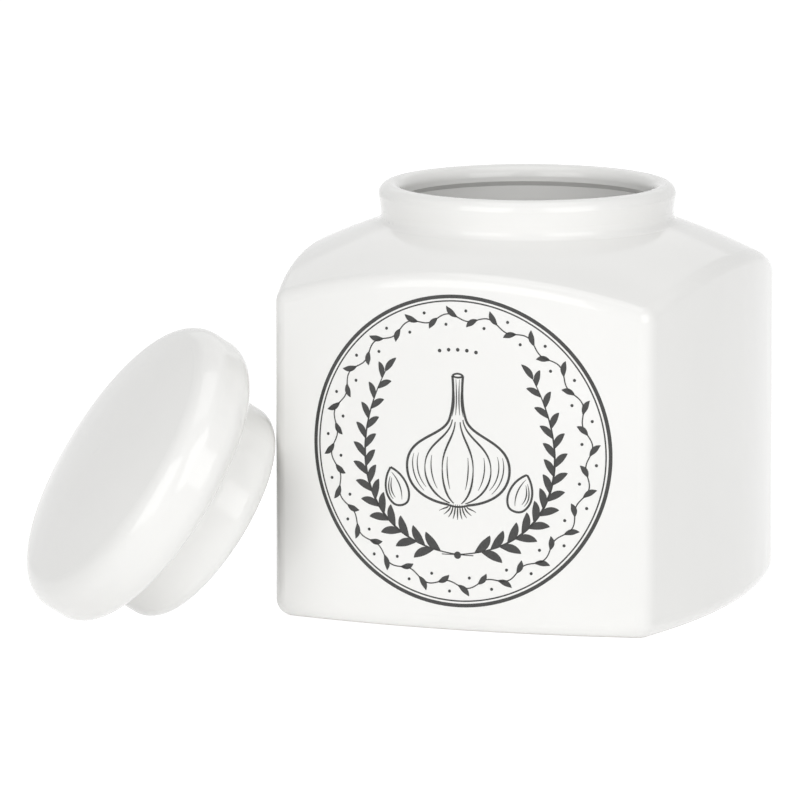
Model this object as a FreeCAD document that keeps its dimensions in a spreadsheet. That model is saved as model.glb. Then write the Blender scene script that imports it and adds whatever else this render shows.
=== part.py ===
"""Square porcelain garlic keeper: a jar with bowed sides and a domed shoulder, and its thick lid.

Millimetres. +Z is up, and the origin is the centre of the jar's foot. The front faces -Y.
The lid is off the jar: it stands on its edge and leans on the jar's front left corner.
"""

import FreeCAD, Part
import math
import os

import Sketcher

# Driving dimensions: alias, value, what it is
SIZES = (
    ("jar_width", 120.0, "from the middle of one side to the middle of the opposite side"),
    ("side_bow", 6.4, "how far the middle of a side stands out past its ends"),
    ("corner_round", 5.4, "radius of the upright corners"),
    ("shoulder_radius", 190.0, "radius of the shoulder's dome in profile"),
    ("shoulder_slope", 19.0, "degrees that the dome falls where it meets the neck"),
    ("shoulder_round", 4.4, "radius of the edge between the dome and a side"),
    ("base_round", 4.7, "radius of the edge under a side"),
    ("wall", 4.5, "thickness of the sides and of the shoulder"),
    ("floor_thickness", 5.0, "thickness of the jar's floor over the recess of the foot"),
    ("inner_corner_round", 8.0, "radius of the upright corners inside"),
    ("inner_edge_round", 5.0, "radius of the edges at the floor and at the shoulder inside"),
    ("foot_width", 5.0, "width of the ring that the jar stands on"),
    ("foot_height", 1.2, "depth of the recess inside that ring"),
    ("jar_height", 115.0, "height of the rim's crest"),
    ("neck_height", 10.2, "from the shoulder's dome, where it meets the neck, up to the rim's crest"),
    ("rim_radius", 40.7, "outer radius of the rim's roll"),
    ("rim_round", 3.0, "radius of the outer half of the rim's roll"),
    ("waist_radius", 40.1, "outer radius of the neck under the roll"),
    ("waist_height", 3.0, "height of the neck's upright part above the dome"),
    ("neck_round", 2.2, "radius between the neck and the dome"),
    ("mouth_radius", 34.6, "inner radius of the rim"),
    ("lip_depth", 4.4, "from the crest down to the lower edge of the rim's inside"),
    ("throat_radius", 36.0, "inner radius of the neck under the rim"),
    ("throat_round", 2.0, "radius between the neck and the shoulder inside"),
    ("lid_radius", 43.5, "radius of the lid's widest circle"),
    ("lid_height", 22.7, "from the lid's underside to the middle of its dome"),
    ("lid_dome_radius", 157.0, "radius of the lid's dome in profile"),
    ("lid_edge_round", 7.2, "radius between the lid's dome and its side"),
    ("lid_under_round", 6.6, "radius between the lid's side and its underside"),
    ("plug_gap", 2.2, "radial room between the plug and the rim's inside"),
    ("plug_length", 16.1, "how far the plug reaches below the lid's underside"),
    ("plug_root_round", 3.3, "radius between the lid's underside and the plug"),
    ("plug_end_round", 5.2, "outer radius of the plug's end"),
    ("plug_lip_round", 1.6, "inner radius of the plug's end"),
    ("plug_wall", 7.4, "thickness of the plug's wall"),
    ("lid_wall", 7.5, "thickness of the lid over the middle of the plug's hollow"),
    ("hollow_round", 6.0, "radius at the bottom of the plug's hollow"),
    ("lean_pitch", 33.0, "degrees that the lid's axis rises above the ground"),
    ("lean_turn", 218.4, "degrees from +X towards +Y that the lid's dome faces"),
    ("lean_contact", 24.3, "degrees from +X towards +Y that the lid pushes on the jar's corner"),
    ("lean_gap", 0.3, "room between the leaning lid and the jar"),
    ("ground_gap", 0.05, "room between the leaning lid and the ground"),
)


class Size:
    """A length or an angle: its number, and the expression that gives it from the sheet."""

    def __init__(self, value, text):
        self.value = value
        self.text = text

    def __add__(self, other):
        return Size(self.value + number(other), "(%s + %s)" % (self.text, words(other)))

    def __sub__(self, other):
        return Size(self.value - number(other), "(%s - %s)" % (self.text, words(other)))

    def __mul__(self, other):
        return Size(self.value * number(other), "(%s * %s)" % (self.text, words(other)))

    def __truediv__(self, other):
        return Size(self.value / number(other), "(%s / %s)" % (self.text, words(other)))

    def __neg__(self):
        return Size(-self.value, "(0 - %s)" % self.text)


def number(size):
    return size.value if isinstance(size, Size) else size


def words(size):
    return size.text if isinstance(size, Size) else repr(size)


def root(size):
    return Size(math.sqrt(size.value), "sqrt(%s)" % size.text)


def leg(longest, other):
    """The third side of a right triangle."""
    return root(longest * longest - other * other)


def sine(size):
    return Size(math.sin(math.radians(size.value)), "sin(%s)" % size.text)


def cosine(size):
    return Size(math.cos(math.radians(size.value)), "cos(%s)" % size.text)


def larger(one, other):
    return Size(max(one.value, other.value), "max(%s; %s)" % (one.text, other.text))


ZERO = Size(0.0, "0")

# Two places nearer to each other than this are the same place
SMALL = 0.01

# Share of the jar's width from its middle that is out past its corners
PAST_CORNERS = 0.75


class Dims:
    """Every driving dimension by name, and the sizes that follow from several of them."""

    def __init__(self):
        for alias, value, _ in SIZES:
            setattr(self, alias, Size(value, "dims." + alias))
        self.half_width = self.jar_width / 2
        self.plug_radius = self.mouth_radius - self.plug_gap
        self.rim_inner_round = self.rim_radius - self.rim_round - self.mouth_radius
        self.inner_floor = self.foot_height + self.floor_thickness
        self.shoulder_height = self.jar_height - self.neck_height
        self.lid_edge_out = self.lid_radius - self.lid_edge_round
        self.lid_edge_rise = leg(self.lid_dome_radius - self.lid_edge_round, self.lid_edge_out)
        self.lid_edge_up = self.lid_height - self.lid_dome_radius + self.lid_edge_rise


def make_sheet(doc):
    """Put every driving dimension in its own row: its name, its number and what it is."""
    sheet = doc.addObject("Spreadsheet::Sheet", "dims")
    for row, (alias, value, note) in enumerate(SIZES, start=1):
        sheet.set("A%d" % row, alias)
        sheet.set("B%d" % row, repr(value))
        sheet.set("C%d" % row, note)
        sheet.setAlias("B%d" % row, alias)
    doc.recompute()


def new_sketch(body, name, role, lift=ZERO):
    """An empty sketch on one of the body's own origin planes, raised off it by a size."""
    plane = next(f for f in body.Origin.OriginFeatures if f.Role == role)
    sketch = body.newObject("Sketcher::SketchObject", name)
    sketch.AttachmentSupport = [(plane, "")]
    sketch.MapMode = "FlatFace"
    if lift is not ZERO:
        sketch.setExpression("AttachmentOffset.Base.z", lift.text)
    return sketch


def place_corner(sketch, curve, end, corner):
    """Tie one end of a curve to its two sizes, or to an axis where a size is zero."""
    across, up = corner
    for size, kind, axis in ((across, "DistanceX", -2), (up, "DistanceY", -1)):
        if size is ZERO:
            sketch.addConstraint(Sketcher.Constraint("PointOnObject", curve, end, axis))
        else:
            tie = sketch.addConstraint(Sketcher.Constraint(kind, -1, 1, curve, end, size.value))
            sketch.setExpression("Constraints[%d]" % tie, size.text)


def arc_between(start, end, radius, side):
    """A short arc from start to end. It bulges to the right for side 1, to the left for -1."""
    way = end - start
    half = way.Length / 2
    bulge = FreeCAD.Vector(way.y, -way.x, 0).normalize() * side
    centre = (start + end) * 0.5 - bulge * math.sqrt(radius * radius - half * half)
    return Part.Arc(start, centre + bulge * radius, end)


def draw(sketch, corners, arcs, hollow=()):
    """A closed outline through the corners, anticlockwise, of straight and curved runs.

    arcs gives the radius of each curved run by the number of the corner that it leaves.
    A curved run bulges outwards, or inwards where hollow names it.
    """
    points = [FreeCAD.Vector(across.value, up.value, 0) for across, up in corners]
    first = [2 if index in hollow else 1 for index in range(len(corners))]
    for index, start in enumerate(points):
        end = points[(index + 1) % len(points)]
        if index in arcs:
            side = -1 if index in hollow else 1
            sketch.addGeometry(arc_between(start, end, arcs[index].value, side))
        else:
            sketch.addGeometry(Part.LineSegment(start, end))
    for index, corner in enumerate(corners):
        before = (index - 1) % len(corners)
        joint = Sketcher.Constraint("Coincident", before, 3 - first[before], index, first[index])
        sketch.addConstraint(joint)
        place_corner(sketch, index, first[index], corner)
    for index, radius in arcs.items():
        tie = sketch.addConstraint(Sketcher.Constraint("Radius", index, radius.value))
        sketch.setExpression("Constraints[%d]" % tie, radius.text)


def turn_about_z(body, kind, name, sketch):
    """Revolve a profile of the XZ plane a full turn about the upright axis."""
    feature = body.newObject("PartDesign::" + kind, name)
    feature.Profile = sketch
    feature.ReferenceAxis = (sketch, ["V_Axis"])
    feature.Angle = 360
    return feature


def fillet(doc, body, name, chosen, radius):
    """Round the edges of the body so far that the test chooses."""
    doc.recompute()
    base = body.Tip
    edges = ["Edge%d" % n for n, edge in enumerate(base.Shape.Edges, start=1) if chosen(edge)]
    if not edges:
        raise RuntimeError(name + " finds no edge")
    feature = body.newObject("PartDesign::Fillet", name)
    feature.Base = (base, edges)
    feature.setExpression("Radius", radius.text)
    doc.recompute()
    return feature


def is_upright(edge):
    """A straight edge along Z."""
    box = edge.BoundBox
    return box.ZLength > SMALL and max(box.XLength, box.YLength) < SMALL


def is_level_at(height):
    """A test for edges that lie flat at one height."""
    def chosen(edge):
        box = edge.BoundBox
        return box.ZLength < SMALL and abs(box.ZMin - height.value) < SMALL
    return chosen


def bowed_square(sketch, half_width, bow):
    """A square with sides that bow outwards, each one arc of a circle."""
    half = half_width - bow
    side_radius = (half * half + bow * bow) / (bow * 2)
    corners = ((half, -half), (half, half), (-half, half), (-half, -half))
    draw(sketch, corners, dict.fromkeys(range(4), side_radius))


def domed_block(doc, name, dims, inset, neck, bottom, rounds):
    """An upright block with bowed sides, its top cut to the shoulder's dome, all edges rounded.

    The inside of the jar is the same block with every face set in by the wall.
    neck holds the radius of the neck that rises from the dome, and of the round at its foot.
    rounds holds the radii of the upright corners, of the dome's edge and of the lower edge.
    """
    dome_radius = dims.shoulder_radius - inset
    centre_out = dims.waist_radius - dims.shoulder_radius * sine(dims.shoulder_slope)
    centre_up = dims.shoulder_height - dims.shoulder_radius * cosine(dims.shoulder_slope)
    neck_radius, neck_round = neck
    foot_out = neck_radius + neck_round
    foot_rise = leg(dome_radius + neck_round, foot_out - centre_out)
    on_dome = dome_radius / (dome_radius + neck_round)
    foot_start = (centre_out + (foot_out - centre_out) * on_dome, centre_up + foot_rise * on_dome)
    top = centre_up + foot_rise
    reach = dims.jar_width * PAST_CORNERS
    reach_up = centre_up + leg(dome_radius, reach - centre_out)
    above = top + dims.wall

    body = doc.addObject("PartDesign::Body", name)
    plan = new_sketch(body, name + "_plan", "XY_Plane", bottom)
    bowed_square(plan, dims.half_width - inset, dims.side_bow)
    block = body.newObject("PartDesign::Pad", name + "_block")
    block.Profile = plan
    block.setExpression("Length", (top - bottom).text)
    fillet(doc, body, name + "_corners", is_upright, rounds[0])

    full = body.Tip.Shape.Volume
    cut = new_sketch(body, name + "_dome_profile", "XZ_Plane")
    outline = (
        (neck_radius, top),
        foot_start,
        (reach, reach_up),
        (reach, above),
        (neck_radius, above),
    )
    draw(cut, outline, {0: neck_round, 1: dome_radius}, hollow=(1,))
    turn_about_z(body, "Groove", name + "_dome", cut)
    doc.recompute()
    check_cut(body, full)

    def is_dome_edge(edge):
        box = edge.BoundBox
        outside = max(box.XMax, -box.XMin, box.YMax, -box.YMin) > foot_out.value
        return outside and box.ZMin > bottom.value + SMALL and not is_upright(edge)

    fillet(doc, body, name + "_dome_edge", is_dome_edge, rounds[1])
    fillet(doc, body, name + "_lower_edge", is_level_at(bottom), rounds[2])
    return body


def check_cut(body, full):
    """Stop where a cut has taken nothing off the body."""
    if body.Tip.Shape.Volume > full - SMALL:
        raise RuntimeError(body.Label + ": a cut takes nothing away")


def make_outside(doc, dims):
    """The jar as a solid: the domed block, its neck with the rolled rim, and its foot."""
    rounds = (dims.corner_round, dims.shoulder_round, dims.base_round)
    neck_sizes = (dims.waist_radius, dims.neck_round)
    body = domed_block(doc, "outside", dims, ZERO, neck_sizes, ZERO, rounds)

    neck = new_sketch(body, "neck_profile", "XZ_Plane")
    sunk = dims.shoulder_height - dims.wall
    crest = dims.rim_radius - dims.rim_round
    outline = (
        (dims.mouth_radius, sunk),
        (dims.waist_radius, sunk),
        (dims.waist_radius, dims.shoulder_height + dims.waist_height),
        (dims.rim_radius, dims.jar_height - dims.rim_round),
        (crest, dims.jar_height),
        (dims.mouth_radius, dims.jar_height - dims.rim_inner_round),
    )
    draw(neck, outline, {3: dims.rim_round, 4: dims.rim_inner_round})
    turn_about_z(body, "Revolution", "neck", neck)
    doc.recompute()

    full = body.Tip.Shape.Volume
    recess_plan = new_sketch(body, "recess_plan", "XY_Plane")
    bowed_square(recess_plan, dims.half_width - dims.base_round - dims.foot_width, dims.side_bow)
    recess = body.newObject("PartDesign::Pocket", "recess")
    recess.Profile = recess_plan
    recess.Reversed = True
    recess.setExpression("Length", dims.foot_height.text)
    doc.recompute()
    check_cut(body, full)

    def is_recess_corner(edge):
        return is_upright(edge) and edge.BoundBox.ZMax < dims.foot_height.value + SMALL

    fillet(doc, body, "recess_corners", is_recess_corner, dims.inner_corner_round)
    return body


def make_hollow(doc, dims):
    """The room inside the jar: the same block set in by the wall, the throat and the mouth."""
    rounds = (dims.inner_corner_round, dims.inner_edge_round, dims.inner_edge_round)
    neck_sizes = (dims.throat_radius, dims.throat_round)
    body = domed_block(doc, "hollow", dims, dims.wall, neck_sizes, dims.inner_floor, rounds)
    throat = new_sketch(body, "throat_profile", "XZ_Plane")
    lip = dims.jar_height - dims.lip_depth
    step = dims.throat_radius - dims.mouth_radius
    over = dims.jar_height + dims.wall
    outline = (
        (ZERO, dims.inner_floor + dims.wall),
        (dims.throat_radius, dims.inner_floor + dims.wall),
        (dims.throat_radius, lip - step),
        (dims.mouth_radius, lip),
        (dims.mouth_radius, over),
        (ZERO, over),
    )
    draw(throat, outline, {})
    turn_about_z(body, "Revolution", "throat", throat)
    return body


def make_jar(doc, dims):
    """The jar: the outside less the room inside."""
    jar = doc.addObject("Part::Cut", "jar")
    jar.Base = make_outside(doc, dims)
    jar.Tool = make_hollow(doc, dims)
    jar.Label = "jar"
    return jar


def make_lid(doc, dims):
    """The lid about its own axis, its underside at zero: dome, side, and plug with its hollow."""
    body = doc.addObject("PartDesign::Body", "lid")
    hollow_radius = dims.plug_radius - dims.plug_wall
    ceiling = dims.lid_height - dims.lid_wall
    end = -dims.plug_length
    on_dome = dims.lid_dome_radius / (dims.lid_dome_radius - dims.lid_edge_round)
    dome_end_up = dims.lid_height - dims.lid_dome_radius + dims.lid_edge_rise * on_dome
    outline = (
        (ZERO, ceiling),
        (hollow_radius - dims.hollow_round, ceiling),
        (hollow_radius, ceiling - dims.hollow_round),
        (hollow_radius, end + dims.plug_lip_round),
        (hollow_radius + dims.plug_lip_round, end),
        (dims.plug_radius - dims.plug_end_round, end),
        (dims.plug_radius, end + dims.plug_end_round),
        (dims.plug_radius, -dims.plug_root_round),
        (dims.plug_radius + dims.plug_root_round, ZERO),
        (dims.lid_radius - dims.lid_under_round, ZERO),
        (dims.lid_radius, dims.lid_under_round),
        (dims.lid_radius, dims.lid_edge_up),
        (dims.lid_edge_out * on_dome, dome_end_up),
        (ZERO, dims.lid_height),
    )
    arcs = {
        1: dims.hollow_round,
        3: dims.plug_lip_round,
        5: dims.plug_end_round,
        7: dims.plug_root_round,
        9: dims.lid_under_round,
        11: dims.lid_edge_round,
        12: dims.lid_dome_radius,
    }
    profile = new_sketch(body, "lid_profile", "XZ_Plane")
    draw(profile, outline, arcs, hollow=(1, 7))
    turn_about_z(body, "Revolution", "lid_turned", profile)
    body.Label = "lid"
    lean(body, dims)
    return body


def lean(body, dims):
    """Stand the lid on the ground with its plug's end against the jar's front left corner.

    The plug's rounded end is a ring of one tube radius. The ring's point whose normal is the
    push lies a gap away from the upright corner, and the lid's lowest point lies on the ground.
    """
    pitch, turn, push = dims.lean_pitch, dims.lean_turn, dims.lean_contact
    axis = (cosine(pitch) * cosine(turn), cosine(pitch) * sine(turn))
    facing = cosine(pitch) * cosine(turn - push)
    spread = root(Size(1.0, "1") - facing * facing)
    ring = dims.plug_radius - dims.plug_end_round
    back = dims.plug_length - dims.plug_end_round
    off = dims.plug_end_round + dims.lean_gap + dims.corner_round

    half = dims.half_width - dims.side_bow
    side_radius = (half * half + dims.side_bow * dims.side_bow) / (dims.side_bow * 2)
    side_centre = dims.half_width - side_radius
    reach = side_radius - dims.corner_round
    corner = (side_centre + root(reach * reach * 2 - side_centre * side_centre)) / 2

    place = []
    for along, toward in zip(axis, (cosine(push), sine(push))):
        touch = ring * (toward - facing * along) / spread
        place.append(-corner - off * toward - touch + back * along)

    under_out = dims.lid_radius - dims.lid_under_round
    reach_down = (
        (dims.lid_edge_out, dims.lid_edge_up, dims.lid_edge_round),
        (under_out, dims.lid_under_round, dims.lid_under_round),
        (ring, -back, dims.plug_end_round),
    )
    depths = [out * cosine(pitch) - up * sine(pitch) + bend for out, up, bend in reach_down]
    deepest = larger(larger(depths[0], depths[1]), depths[2])
    place.append(deepest + dims.ground_gap)

    for letter, size in zip("xyz", place):
        body.setExpression("Placement.Base." + letter, size.text)
    body.setExpression("Placement.Rotation.Axis.x", (-sine(turn)).text)
    body.setExpression("Placement.Rotation.Axis.y", cosine(turn).text)
    body.setExpression("Placement.Rotation.Axis.z", "0")
    body.setExpression("Placement.Rotation.Angle", "(90 - %s) * 1 deg" % pitch.text)


def export(doc, parts):
    """Check every object, then write each sub-part to its own file."""
    doc.recompute()
    for item in doc.Objects:
        if "Invalid" in item.State or "Error" in item.State:
            raise RuntimeError(item.Label + " failed")
    for part in parts:
        if part.Shape.isNull() or not part.Shape.isValid():
            raise RuntimeError(part.Label + " has no valid shape")
    os.makedirs("parts", exist_ok=True)
    for part in parts:
        part.Shape.exportStep("parts/" + part.Label + ".step")
        box = part.Shape.optimalBoundingBox()
        corners = (box.XMin, box.YMin, box.ZMin, box.XMax, box.YMax, box.ZMax)
        print(part.Label, round(part.Shape.Volume), [round(value, 2) for value in corners])


def main():
    doc = FreeCAD.newDocument("garlic_keeper")
    make_sheet(doc)
    dims = Dims()
    export(doc, (make_jar(doc, dims), make_lid(doc, dims)))


main()
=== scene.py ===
"""Looks of the square porcelain garlic keeper: glaze, printed roundel, floor, light and camera.

Metres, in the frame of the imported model: +Z is up and the printed front faces -Y. The print is
drawn in millimetres on the front face, across and up from the middle of the roundel.
"""

import math

import bpy
import numpy as np
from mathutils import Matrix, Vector


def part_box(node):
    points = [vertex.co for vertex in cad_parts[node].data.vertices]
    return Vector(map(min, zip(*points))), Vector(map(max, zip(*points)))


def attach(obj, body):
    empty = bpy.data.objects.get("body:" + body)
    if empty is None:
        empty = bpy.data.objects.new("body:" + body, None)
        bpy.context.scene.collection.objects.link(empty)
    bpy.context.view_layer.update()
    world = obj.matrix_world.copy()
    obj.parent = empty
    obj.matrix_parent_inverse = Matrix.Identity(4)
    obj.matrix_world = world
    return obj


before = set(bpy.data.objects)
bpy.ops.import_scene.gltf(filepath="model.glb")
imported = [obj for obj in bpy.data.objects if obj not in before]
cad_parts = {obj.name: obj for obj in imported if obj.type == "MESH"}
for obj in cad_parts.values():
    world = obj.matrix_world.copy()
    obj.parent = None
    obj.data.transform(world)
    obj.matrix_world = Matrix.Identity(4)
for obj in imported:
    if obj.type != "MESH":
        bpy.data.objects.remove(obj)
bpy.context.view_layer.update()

MM = 0.001

# The jar's front face: one arc in plan, its middle farther out than its ends by the bow
SIDE_BOW = 6.4 * MM
HALF_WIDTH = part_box("jar")[1][0]
HALF_SIDE = HALF_WIDTH - SIDE_BOW
FACE_RADIUS = (HALF_SIDE ** 2 + SIDE_BOW ** 2) / (2 * SIDE_BOW)

# Where the middle of the roundel lies on the face, and how the print lies in the glaze
ROUNDEL_ACROSS = 1.4 * MM
ROUNDEL_UP = 49.6 * MM
PRINT_PROUD = 0.03 * MM
PRINT_SUNK = 0.12 * MM

# The print's places and sizes, in millimetres from the middle of the roundel
OUTER_RING = 42.0
INNER_RING = 40.8
VINE_RADIUS = 36.4
VINE_SWING = 0.9
VINE_WAVES = 20
VINE_LEAF_SPREAD = math.radians(42)
VINE_LEAF_LENGTHS = (4.4, 3.9)   # outside the vine, and inside it
BERRY_RADIUS = 0.42
BERRY_OFFSET = 1.9               # from the vine's middle circle to a berry
BERRY_AHEAD = 0.62               # from a leaf's foot to a berry, as a share of half a wave
ROOTS = 9
SPRIG_LEAVES = 24
SPRIG_LEAF_PLACES = (9, 77)      # the stem's points at the first and the last leaf
SPRIG_LEAF_SPREAD = math.radians(38)
SPRIG_LEAF_LENGTHS = (6.6, 4.6)  # the first and the last leaf
SPRIG_LEAF_SHARE = 0.17          # half width of a sprig's leaf, as a share of its length
SPRIG_LEAF_FULLNESS = 0.8        # below one, the leaf's outline is fuller than half a sine
KNOT_RADIUS = 1.0
CLOVE_PLACE = (17.6, -10.6)
CLOVE_SCALE = 0.82
CLOVE_LEAN = math.radians(-18)
DOT_ARC = 27.6
DOT_STEP = math.radians(5.4)
DOT_RADIUS = 0.5

# Half widths of the printed lines, in millimetres: one number, or thin ends and thick middle
OUTER_RING_HALF = 0.5
INNER_RING_HALF = 0.2
VINE_HALF = 0.17
BULB_HALF = 0.34
BULB_END_HALF = 0.26
CLOVE_HALF = 0.3
FINE = 0.05
VINE_LEAF_TAPER = (FINE, 0.8)
BULB_CLOVE_TAPER = (0.14, 0.28)
BULB_SHADING_TAPER = (FINE, 0.17)
ROOT_TAPER = (0.06, 0.2)
STEM_TAPER = (0.12, 0.3)
CLOVE_SHADING_TAPER = (FINE, 0.18)
BLUNT = 0.01                     # keeps the ends of a dot from closing to a point

# Points along each kind of line
RING_POINTS = 240
VINE_POINTS = 720
BULB_POINTS = 40
SHADING_POINTS = 24
ROOT_POINTS = 20
STEM_POINTS = 80
CLOVE_POINTS = 30
LEAF_POINTS = 15
DOT_POINTS = 17

# The lid: the middle of its underside, and its axis out through the dome
LID_MIDDLE = (-83.824 * MM, -58.699 * MM, 34.002 * MM)
LID_AXIS = (-0.6573, -0.5209, 0.5446)

# Colours, and the bands without glaze: along Z on the jar, along its own axis on the lid
GLAZE_WHITE = (0.875, 0.872, 0.855, 1)
BISCUIT = (0.78, 0.765, 0.74, 1)
CHARCOAL = (0.034, 0.034, 0.033, 1)
FOOT_BARE = (-1.0 * MM, 0.5 * MM)
PLUG_END_BARE = (-17.0 * MM, -15.8 * MM)
BARE_EDGE = 0.4 * MM             # over this length the glaze sets in
BISCUIT_ROUGHER = 0.6
GLAZE_ROUGHNESS = (0.085, 0.13)
INK_ROUGHNESS = (0.1, 0.15)
INDEX_OF_REFRACTION = 1.5
CLOUD_DARKER = 0.985             # the glaze's darker clouds, as a share of its white
MOTTLE_PALER = 1.45              # the print's paler mottles, as a share of its charcoal
WAVE_DEPTH = 0.12 * MM
WAVE_STRENGTH = 0.5
GRAIN_DEPTH = 0.004 * MM
GRAIN_STRENGTH = 0.25

# The noises of the glaze and the print: scale per metre, and detail
CLOUDS = (26.0, 3.0)
WAVES = (45.0, 1.0)
GLOSS_PATCHES = (60.0, 4.0)
GRAINS = (900.0, 2.0)
MOTTLES = (1500.0, 3.0)
NOISE_SPAN = (0.3, 0.7)          # nearly all of a noise lies between these
CLOUD_SPAN = (0.35, 0.65)

# Light: the room, the floor and the lamps, with turns counted from the camera
WHITE = (1, 1, 1, 1)
ROOM_STRENGTH = 0.31
FLOOR_SIZE = 8.0
FLOOR_GAP = 0.02 * MM            # keeps the floor from cutting into the foot ring
FLOOR_PAPER = 0.85
FLOOR_BOUNCE = 0.2
FLOOR_SHADE = 0.45
FLOOR_GLOW = 0.88
LAMPS = {
    "softbox_left": {"turn": -34, "rise": 22, "distance": 1.5, "size": (1.05, 1.2), "power": 7.6},
    "softbox_right": {"turn": 34, "rise": 22, "distance": 1.5, "size": (1.05, 1.2), "power": 7.7},
    "softbox_top": {"turn": 0, "rise": 88, "distance": 1.6, "size": (1.2, 1.2), "power": 5.0},
    "softbox_back": {"turn": 180, "rise": 40, "distance": 1.6, "size": (1.2, 1.0), "power": 1.0},
}

# Camera: a long lens, a little above the jar and to the right of its front
CAMERA_TURN = math.radians(20.125)
CAMERA_RISE = math.radians(8.924)
CAMERA_DISTANCE = 2.6016
IMAGE_WIDTH = 800
PIXELS_PER_METRE = 3644.4        # at the distance of the point looked at
SENSOR_WIDTH = 36.0
AIM_ASIDE = -34.804 * MM         # the point looked at: to the left of the jar's middle
AIM_HEIGHT = 54.643 * MM


# Camera, floor and light

def direction(turn, rise):
    """Unit vector out of the object, turned from -Y towards +X and raised from level."""
    level = math.cos(rise)
    return Vector((math.sin(turn) * level, -math.cos(turn) * level, math.sin(rise)))


def look_from(thing, place, away):
    """Put a camera or a lamp at a place, its back turned in the direction away."""
    thing.location = place
    thing.rotation_mode = "QUATERNION"
    thing.rotation_quaternion = away.to_track_quat("Z", "Y")
    bpy.context.scene.collection.objects.link(thing)


def add_camera():
    """The scene's camera: a long lens whose scale at the point looked at is the named one."""
    data = bpy.data.cameras.new("camera")
    data.sensor_width = SENSOR_WIDTH
    data.lens = PIXELS_PER_METRE * CAMERA_DISTANCE * SENSOR_WIDTH / IMAGE_WIDTH
    data.clip_end = 50.0
    back = direction(CAMERA_TURN, CAMERA_RISE)
    aim = AIM_ASIDE * Vector((math.cos(CAMERA_TURN), math.sin(CAMERA_TURN), 0.0))
    aim.z = AIM_HEIGHT
    camera = bpy.data.objects.new("camera", data)
    look_from(camera, aim + back * CAMERA_DISTANCE, back)
    bpy.context.scene.camera = camera


def add_softbox(name, turn, rise, distance, size, power):
    """A large soft lamp that looks at the object; its turn is counted from the camera's."""
    data = bpy.data.lights.new(name, "AREA")
    data.shape = "RECTANGLE"
    data.size, data.size_y = size
    data.energy = power
    away = direction(CAMERA_TURN + math.radians(turn), math.radians(rise))
    look_from(bpy.data.objects.new(name, data), away * distance, away)


class Nodes:
    """A short way to write one node tree."""

    def __init__(self, tree):
        self.tree = tree
        self.tree.nodes.clear()

    def add(self, kind, settings=(), **inputs):
        """A node; a value given for an input is either a constant or another node's output.

        An input is named by its label, or, as i and a number, by its place in the list.
        """
        node = self.tree.nodes.new(kind)
        for name, value in dict(settings).items():
            setattr(node, name, value)
        for name, value in inputs.items():
            key = int(name[1:]) if name[1:].isdigit() else name.replace("_", " ")
            self.give(node.inputs[key], value)
        return node

    def give(self, socket, value):
        """Join an output to the input, or set the input to a constant."""
        if isinstance(value, bpy.types.NodeSocket):
            self.tree.links.new(value, socket)
        else:
            socket.default_value = value

    def calculate(self, operation, first, second):
        """The result of one operation on two numbers."""
        return self.add("ShaderNodeMath", {"operation": operation}, i0=first, i1=second).outputs[0]

    def noise(self, place, grade):
        """Smooth noise over the place; its grade is a scale per metre and a detail."""
        scale, detail = grade
        node = self.add("ShaderNodeTexNoise", Vector=place, Scale=scale, Detail=detail)
        return node.outputs["Fac"]

    def ramp(self, value, span, result):
        """The value's span, low to high, becomes the result's two ends, level beyond them."""
        node = self.add("ShaderNodeMapRange", Value=value, i1=span[0], i2=span[1],
                        i3=result[0], i4=result[1])
        return node.outputs["Result"]

    def blend(self, share, first, second):
        """The first colour where the share is zero, the second where it is one."""
        node = self.add("ShaderNodeMix", {"data_type": "RGBA"}, i0=share, i6=first, i7=second)
        return node.outputs[2]

    def seen(self):
        """One for what the camera sees directly or in a gloss, else zero."""
        path = self.add("ShaderNodeLightPath")
        either = self.calculate("ADD", path.outputs["Is Camera Ray"], path.outputs["Is Glossy Ray"])
        both = self.calculate("ADD", either, path.outputs["Is Transmission Ray"])
        return self.calculate("MINIMUM", both, 1.0)

    def output(self, kind, shader):
        """Join the shader to the output of the world or of the material."""
        self.add(kind, Surface=shader.outputs[0])


def new_material(name):
    """An empty node material and the writer of its nodes."""
    material = bpy.data.materials.new(name)
    material.use_nodes = True
    return material, Nodes(material.node_tree)


def scaled(colour, factor):
    """The colour with its red, green and blue multiplied by the factor."""
    return tuple(part * factor for part in colour[:3]) + (1,)


def add_world():
    """White wherever it is seen, and a weaker white as the room's light."""
    world = bpy.data.worlds.new("studio")
    world.use_nodes = True
    bpy.context.scene.world = world
    nodes = Nodes(world.node_tree)
    room = nodes.add("ShaderNodeBackground", Color=WHITE, Strength=ROOM_STRENGTH)
    white = nodes.add("ShaderNodeBackground", Color=WHITE, Strength=1.0)
    mixed = nodes.add("ShaderNodeMixShader", i0=nodes.seen(), i1=room.outputs[0], i2=white.outputs[0])
    nodes.output("ShaderNodeOutputWorld", mixed)


def lit_paper(nodes, shade, glow):
    """Matt paper of a grey shade with light of its own, as on a light table."""
    matt = nodes.add("ShaderNodeBsdfDiffuse", Color=scaled(WHITE, shade))
    light = nodes.add("ShaderNodeEmission", Color=WHITE, Strength=glow)
    return nodes.add("ShaderNodeAddShader", i0=matt.outputs[0], i1=light.outputs[0]).outputs[0]


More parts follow.
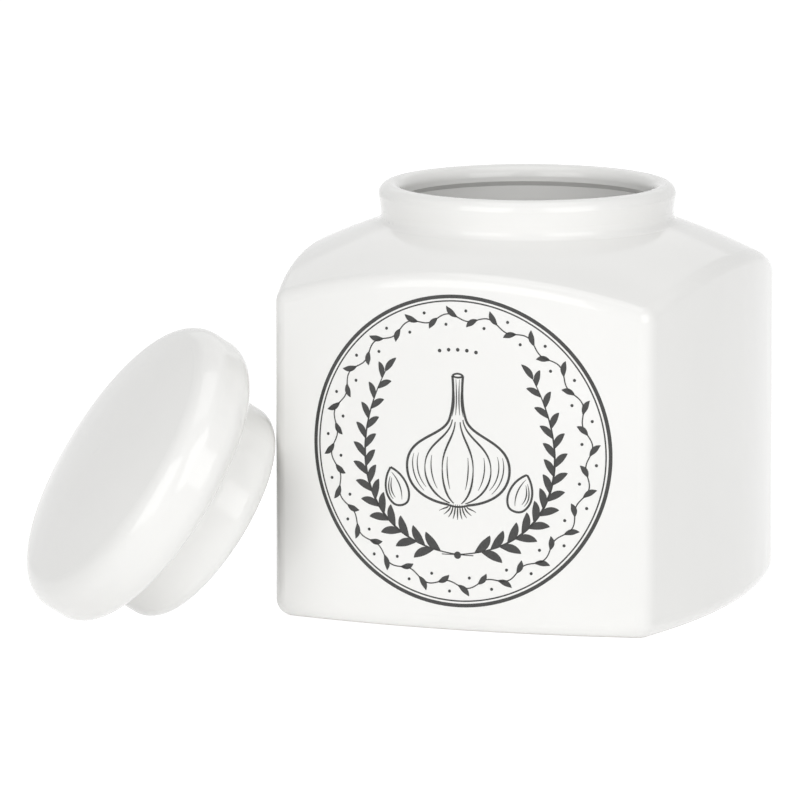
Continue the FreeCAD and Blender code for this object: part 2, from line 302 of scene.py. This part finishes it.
def add_floor():
    """A white floor that also lights the object from below, as in a light tent.

    Where the floor is seen it glows more and its paper is greyer, so it is white, and the
    object's shadow on it is faint.
    """
    mesh = bpy.data.meshes.new("floor")
    corners = np.array([(-1, -1, 0), (1, -1, 0), (1, 1, 0), (-1, 1, 0)], dtype=float) * FLOOR_SIZE / 2
    corners[:, 2] = -FLOOR_GAP
    mesh.from_pydata(corners.tolist(), [], [(0, 1, 2, 3)])
    material, nodes = new_material("floor")
    plain = lit_paper(nodes, FLOOR_PAPER, FLOOR_BOUNCE)
    bright = lit_paper(nodes, FLOOR_SHADE, FLOOR_GLOW)
    mixed = nodes.add("ShaderNodeMixShader", i0=nodes.seen(), i1=plain, i2=bright)
    nodes.output("ShaderNodeOutputMaterial", mixed)
    mesh.materials.append(material)
    floor = bpy.data.objects.new("floor", mesh)
    bpy.context.scene.collection.objects.link(floor)


# Glaze and print colour

def glaze(name, bare_band, bare_along):
    """White porcelain under a clear gloss glaze, with an unglazed band where the piece was fired.

    The glaze has a faint slow waviness, a fine grain and uneven gloss, and its white is a
    little uneven too. bare_along gives the height in which bare_band, its low and high end,
    is counted.
    """
    material, nodes = new_material(name)
    place = nodes.add("ShaderNodeTexCoord").outputs["Object"]
    along = bare_along(nodes, place)
    bare_low, bare_high = bare_band
    above = nodes.ramp(along, (bare_high, bare_high + BARE_EDGE), (1.0, 0.0))
    below = nodes.ramp(along, (bare_low - BARE_EDGE, bare_low), (0.0, 1.0))
    bare = nodes.calculate("MULTIPLY", above, below)

    cloud = nodes.ramp(nodes.noise(place, CLOUDS), CLOUD_SPAN, (0.0, 1.0))
    white = nodes.blend(cloud, GLAZE_WHITE, scaled(GLAZE_WHITE, CLOUD_DARKER))
    colour = nodes.blend(bare, white, BISCUIT)
    uneven = nodes.ramp(nodes.noise(place, GLOSS_PATCHES), NOISE_SPAN, GLAZE_ROUGHNESS)
    rougher = nodes.calculate("MULTIPLY", bare, BISCUIT_ROUGHER)
    roughness = nodes.calculate("ADD", uneven, rougher)

    waves = nodes.add("ShaderNodeBump", Strength=WAVE_STRENGTH, Distance=WAVE_DEPTH,
                      Height=nodes.noise(place, WAVES))
    grain = nodes.add("ShaderNodeBump", Strength=GRAIN_STRENGTH, Distance=GRAIN_DEPTH,
                      Height=nodes.noise(place, GRAINS), Normal=waves.outputs[0])
    shader = nodes.add("ShaderNodeBsdfPrincipled", Base_Color=colour, Roughness=roughness,
                       IOR=INDEX_OF_REFRACTION, Normal=grain.outputs[0])
    nodes.output("ShaderNodeOutputMaterial", shader)
    return material


def charcoal_print():
    """Charcoal print under the glaze, with the faint mottle of a transfer print."""
    material, nodes = new_material("charcoal_print")
    place = nodes.add("ShaderNodeTexCoord").outputs["Object"]
    mottle = nodes.ramp(nodes.noise(place, MOTTLES), NOISE_SPAN, (0.0, 1.0))
    shade = nodes.blend(mottle, CHARCOAL, scaled(CHARCOAL, MOTTLE_PALER))
    uneven = nodes.ramp(nodes.noise(place, GLOSS_PATCHES), NOISE_SPAN, INK_ROUGHNESS)
    shader = nodes.add("ShaderNodeBsdfPrincipled", Base_Color=shade, Roughness=uneven,
                       IOR=INDEX_OF_REFRACTION)
    nodes.output("ShaderNodeOutputMaterial", shader)
    return material


def foot_height(nodes, place):
    """Height above the floor, for the ring that the jar stands on."""
    return nodes.add("ShaderNodeSeparateXYZ", Vector=place).outputs["Z"]


def lid_height(nodes, place):
    """Height along the lid's own axis, from its underside up, for the end of its plug."""
    from_middle = nodes.add("ShaderNodeVectorMath", {"operation": "SUBTRACT"}, i0=place,
                            i1=LID_MIDDLE).outputs[0]
    return nodes.add("ShaderNodeVectorMath", {"operation": "DOT_PRODUCT"}, i0=from_middle,
                     i1=LID_AXIS).outputs["Value"]


def set_glaze(node_name, material):
    """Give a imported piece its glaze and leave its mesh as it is."""
    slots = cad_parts[node_name].data.materials
    slots.clear()
    slots.append(material)


# Printed roundel

def face_depth(across):
    """Y of the front face at a distance across, by the formula of its circle in plan.

    It is the Y of the circle's centre less the square root of radius squared less distance
    across squared.
    """
    return -(HALF_WIDTH - FACE_RADIUS) - np.sqrt(FACE_RADIUS ** 2 - across ** 2)


def print_strokes(name, lines, half_widths, material, closed=False):
    """Printed strokes: a thin bar with a flat section is carried along each line of the face.

    lines is an array of strokes by points by (across, up), and half_widths of strokes by points.
    The bar's sides stand half a width off the line along its normal. Its front is a hair proud
    of the face, which is an arc in plan, and its back is sunk under the glaze.
    """
    strokes, points = half_widths.shape
    if closed:
        step = np.roll(lines, -1, axis=1) - np.roll(lines, 1, axis=1)
    else:
        step = np.gradient(lines, axis=1)
    tangent = step / np.linalg.norm(step, axis=2, keepdims=True)
    normal = np.stack([-tangent[..., 1], tangent[..., 0]], axis=2)
    offset = normal * half_widths[..., None]
    section = np.stack([lines + offset, lines - offset, lines - offset, lines + offset], axis=2)
    across = section[..., 0] * MM + ROUNDEL_ACROSS
    up = section[..., 1] * MM + ROUNDEL_UP
    lift = np.array([-PRINT_PROUD, -PRINT_PROUD, PRINT_SUNK, PRINT_SUNK])
    corners = np.stack([across, face_depth(across) + lift, up], axis=3).reshape(-1, 3)

    start = np.arange(strokes)[:, None, None] * points * 4
    along = np.arange(points if closed else points - 1)[None, :, None]
    around = np.arange(4)[None, None, :]
    here = start + along * 4
    ahead = start + (along + 1) % points * 4
    next_one = (around + 1) % 4
    sides = np.stack([here + around, here + next_one, ahead + next_one, ahead + around], axis=3)
    faces = sides.reshape(-1, 4)
    if not closed:
        first = start[:, 0] + np.array([[0, 3, 2, 1]])
        last = start[:, 0] + (points - 1) * 4 + np.array([[0, 1, 2, 3]])
        faces = np.concatenate([faces, first, last])

    mesh = bpy.data.meshes.new(name)
    mesh.from_pydata(corners.tolist(), [], faces.tolist())
    mesh.materials.append(material)
    piece = bpy.data.objects.new(name, mesh)
    bpy.context.scene.collection.objects.link(piece)
    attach(piece, "jar_body")


def polar(radius, angle):
    """Points about the roundel's middle: the radius times the angle's cosine and sine."""
    return np.stack([radius * np.cos(angle), radius * np.sin(angle)], axis=-1)


def steady(lines, half_width):
    """Half widths that are the same all along the lines."""
    return np.full(lines.shape[:2], half_width)


def bezier(control, count):
    """Cubic curves: the four control points of each stroke weighted by the Bernstein formula."""
    share = np.linspace(0.0, 1.0, count)[:, None]
    rest = 1.0 - share
    weights = np.concatenate([rest ** 3, 3 * rest ** 2 * share, 3 * rest * share ** 2, share ** 3], axis=1)
    return np.einsum("pk,skc->spc", weights, np.asarray(control, dtype=float))


def swelling(lines, taper):
    """Half widths that grow from the taper's thin ends to its thick middle, as half a sine wave."""
    thin, thick = taper
    share = np.sin(np.linspace(0.0, np.pi, lines.shape[1]))
    return np.broadcast_to(thin + (thick - thin) * share, lines.shape[:2])


def print_dots(name, centres, radius, material):
    """Round dots: a line across each dot, with half widths that follow its circle.

    At a share of the radius off its middle, a dot's half width is the radius times the square
    root of one less that share squared.
    """
    reach = -np.cos(np.linspace(0.0, np.pi, DOT_POINTS))
    lines = np.asarray(centres)[:, None, :] + radius * np.stack([reach, 0 * reach], axis=1)[None]
    width = radius * np.sqrt(1.0 - reach ** 2) + BLUNT
    print_strokes(name, lines, np.broadcast_to(width, lines.shape[:2]), material)


def mirrored(lines):
    """The strokes, and their mirror images with the sign of across changed."""
    return np.concatenate([lines, lines * np.array([-1.0, 1.0])])


def turned(lines, angles):
    """Each stroke turned about the roundel's middle by its own angle, by cosine and sine."""
    cosine = np.cos(angles)[:, None]
    sine = np.sin(angles)[:, None]
    across = lines[..., 0] * cosine - lines[..., 1] * sine
    up = lines[..., 0] * sine + lines[..., 1] * cosine
    return np.stack([across, up], axis=2)


def leaves(feet, headings, lengths, bends):
    """Middle lines of leaves: cubic curves that leave each foot along a heading and bend sideways.

    The control points lie along the heading at shares of the leaf's length, and the inner two
    also stand to the side by a share of length times bend.
    """
    heading = np.stack([np.cos(headings), np.sin(headings)], axis=1)
    side = np.stack([-heading[:, 1], heading[:, 0]], axis=1)
    shares = np.array([[0.0, 0.0], [0.35, 0.12], [0.7, 0.12], [1.0, 0.0]])
    along = lengths[:, None, None] * shares[None, :, :1] * heading[:, None, :]
    aside = (lengths * bends)[:, None, None] * shares[None, :, 1:] * side[:, None, :]
    return bezier(feet[:, None, :] + along + aside, LEAF_POINTS)


def print_border(material):
    """Double ring, and inside it a running vine: a circle whose radius swings as a sine."""
    angle = np.linspace(0.0, 2 * np.pi, RING_POINTS, endpoint=False)
    rings = polar(np.array([[OUTER_RING], [INNER_RING]]), angle)
    half_widths = np.array([[OUTER_RING_HALF], [INNER_RING_HALF]]) * np.ones((2, RING_POINTS))
    print_strokes("print_rings", rings, half_widths, material, closed=True)

    angle = np.linspace(0.0, 2 * np.pi, VINE_POINTS, endpoint=False)
    vine = polar(VINE_RADIUS + VINE_SWING * np.sin(VINE_WAVES * angle), angle)[None]
    print_strokes("print_vine", vine, steady(vine, VINE_HALF), material, closed=True)

    # A leaf leaves the vine where it crosses its middle circle, and a berry sits by each wave
    count = 2 * VINE_WAVES
    turn = np.arange(count) * 2 * np.pi / count
    outward = np.where(np.arange(count) % 2 == 0, 1.0, -1.0)
    feet = np.stack([np.full(count, VINE_RADIUS), np.zeros(count)], axis=1)
    headings = np.pi / 2 - outward * VINE_LEAF_SPREAD
    sprays = leaves(feet, headings, np.where(outward > 0, *VINE_LEAF_LENGTHS), outward)
    print_strokes("print_border_leaves", turned(sprays, turn), swelling(sprays, VINE_LEAF_TAPER), material)
    centres = polar(VINE_RADIUS - outward * BERRY_OFFSET, turn + BERRY_AHEAD * np.pi / VINE_WAVES)
    print_dots("print_berries", centres, BERRY_RADIUS, material)


def print_bulb(material):
    """Garlic bulb in outline: cubic curves for the right half, mirrored for the left."""
    outline = mirrored(bezier([
        [(1.5, 20.5), (1.0, 15.0), (1.4, 11.5), (2.4, 8.5)],
        [(2.4, 8.5), (4.4, 3.6), (14.6, 3.4), (14.6, -4.6)],
        [(14.6, -4.6), (14.6, -10.6), (9.4, -13.8), (2.8, -14.6)],
    ], BULB_POINTS))
    print_strokes("print_bulb_outline", outline, steady(outline, BULB_HALF), material)

    cloves = mirrored(bezier([
        [(1.5, 8.6), (2.4, 3.0), (9.2, 2.2), (9.4, -4.6)],
        [(9.4, -4.6), (9.5, -9.0), (6.6, -12.6), (2.2, -14.2)],
        [(0.7, 8.0), (1.0, 3.4), (4.4, 1.0), (4.4, -4.8)],
        [(4.4, -4.8), (4.4, -9.2), (3.2, -12.6), (1.1, -14.2)],
    ], BULB_POINTS))
    print_strokes("print_bulb_cloves", cloves, swelling(cloves, BULB_CLOVE_TAPER), material)

    shading = mirrored(bezier([
        [(12.6, -1.2), (13.6, -4.4), (12.6, -8.6), (9.6, -11.2)],
        [(11.2, -1.0), (12.2, -4.2), (11.4, -7.8), (9.0, -10.2)],
        [(7.4, -1.4), (8.0, -4.4), (7.4, -8.0), (5.8, -10.4)],
        [(2.9, -1.6), (3.2, -4.6), (2.9, -8.0), (2.2, -10.4)],
        [(1.3, 18.6), (0.8, 15.0), (0.9, 12.0), (1.6, 9.4)],
        [(0.5, 19.6), (0.3, 15.6), (0.3, 12.4), (0.6, 9.8)],
    ], SHADING_POINTS))
    print_strokes("print_bulb_shading", shading, swelling(shading, BULB_SHADING_TAPER), material)

    # The roots spread from the bulb's foot, and the outer ones end higher
    root_top = np.linspace(-2.5, 2.5, ROOTS)
    root_end = root_top * 2.1
    depth = 0.08 * root_end ** 2 - 18.6
    level = np.ones(ROOTS)
    roots = bezier(np.stack([
        np.stack([root_top, -14.5 * level], axis=1),
        np.stack([root_top * 1.1, -15.8 * level], axis=1),
        np.stack([root_top * 1.3, depth + 1.2], axis=1),
        np.stack([root_end, depth], axis=1),
    ], axis=1), ROOT_POINTS)
    ends = bezier([
        [(-2.8, -14.6), (-1.4, -15.3), (1.4, -15.3), (2.8, -14.6)],
        [(-1.5, 20.5), (-0.9, 21.3), (0.9, 21.3), (1.5, 20.5)],
        [(-1.5, 20.5), (-0.8, 19.9), (0.8, 19.9), (1.5, 20.5)],
    ], ROOT_POINTS)
    print_strokes("print_bulb_ends", ends, steady(ends, BULB_END_HALF), material)
    print_strokes("print_roots", roots, swelling(roots, ROOT_TAPER), material)


def print_sprigs(material):
    """Two leafy sprigs that cross under the bulb and rise round it, each stem one cubic curve."""
    stem = bezier([[(-4.5, -28.2), (25.0, -28.6), (34.5, -5.0), (21.0, 20.5)]], STEM_POINTS)
    stems = mirrored(stem)
    print_strokes("print_sprig_stems", stems, swelling(stems, STEM_TAPER), material)

    # Leaves stand off the stem by turns to its left and right, and get shorter to its tip
    place = np.linspace(*SPRIG_LEAF_PLACES, SPRIG_LEAVES).astype(int)
    slope = np.gradient(stem[0], axis=0)[place]
    outward = np.where(np.arange(SPRIG_LEAVES) % 2 == 0, 1.0, -1.0)
    headings = np.arctan2(slope[:, 1], slope[:, 0]) + outward * SPRIG_LEAF_SPREAD
    lengths = np.linspace(*SPRIG_LEAF_LENGTHS, SPRIG_LEAVES)
    sprays = leaves(stem[0][place], headings, lengths, -outward)
    tip = bezier([[(21.0, 20.5), (20.4, 21.8), (19.4, 23.2), (17.8, 24.4)]], LEAF_POINTS)
    blades = mirrored(np.concatenate([sprays, tip]))
    widest = np.concatenate([lengths, lengths[-1:]]) * SPRIG_LEAF_SHARE
    outline = np.sin(np.linspace(0.0, np.pi, LEAF_POINTS)) ** SPRIG_LEAF_FULLNESS
    half_widths = FINE + np.tile(widest, 2)[:, None] * outline
    print_strokes("print_sprig_leaves", blades, half_widths, material)
    print_dots("print_sprig_berry", [(0.0, -28.3)], KNOT_RADIUS, material)


def print_cloves(material):
    """A single clove on each side of the bulb's foot, leaning out."""
    outline = bezier([
        [(0.2, 6.6), (-3.6, 3.6), (-5.0, -2.4), (-2.4, -5.6)],
        [(0.2, 6.6), (3.4, 4.2), (5.6, -1.2), (3.0, -4.9)],
        [(-2.4, -5.6), (-1.0, -6.9), (2.0, -6.5), (3.0, -4.9)],
    ], CLOVE_POINTS)
    shading = bezier([
        [(0.4, 5.0), (-1.2, 2.0), (-1.6, -1.4), (-0.4, -4.6)],
        [(1.3, 3.8), (3.0, 1.2), (3.8, -1.2), (2.5, -3.7)],
        [(0.9, 3.2), (2.2, 0.8), (2.7, -1.2), (1.6, -3.4)],
    ], SHADING_POINTS)
    lean = np.full(3, CLOVE_LEAN)
    outline = mirrored(turned(outline * CLOVE_SCALE, lean) + CLOVE_PLACE)
    shading = mirrored(turned(shading * CLOVE_SCALE, lean) + CLOVE_PLACE)
    print_strokes("print_clove_outlines", outline, steady(outline, CLOVE_HALF), material)
    print_strokes("print_clove_shading", shading, swelling(shading, CLOVE_SHADING_TAPER), material)


def print_dot_arc(material):
    """Five dots over the bulb, at equal angles along an arc about the roundel's middle."""
    angle = math.radians(90) + DOT_STEP * np.arange(-2, 3)
    print_dots("print_dots", polar(DOT_ARC, angle), DOT_RADIUS, material)


# The scene

add_camera()
add_world()
add_floor()
for lamp, settings in LAMPS.items():
    add_softbox(lamp, **settings)
bpy.context.scene.view_settings.view_transform = "Standard"

set_glaze("jar", glaze("jar_glaze", FOOT_BARE, foot_height))
set_glaze("lid", glaze("lid_glaze", PLUG_END_BARE, lid_height))
charcoal = charcoal_print()
print_border(charcoal)
print_bulb(charcoal)
print_sprigs(charcoal)
print_cloves(charcoal)
print_dot_arc(charcoal)
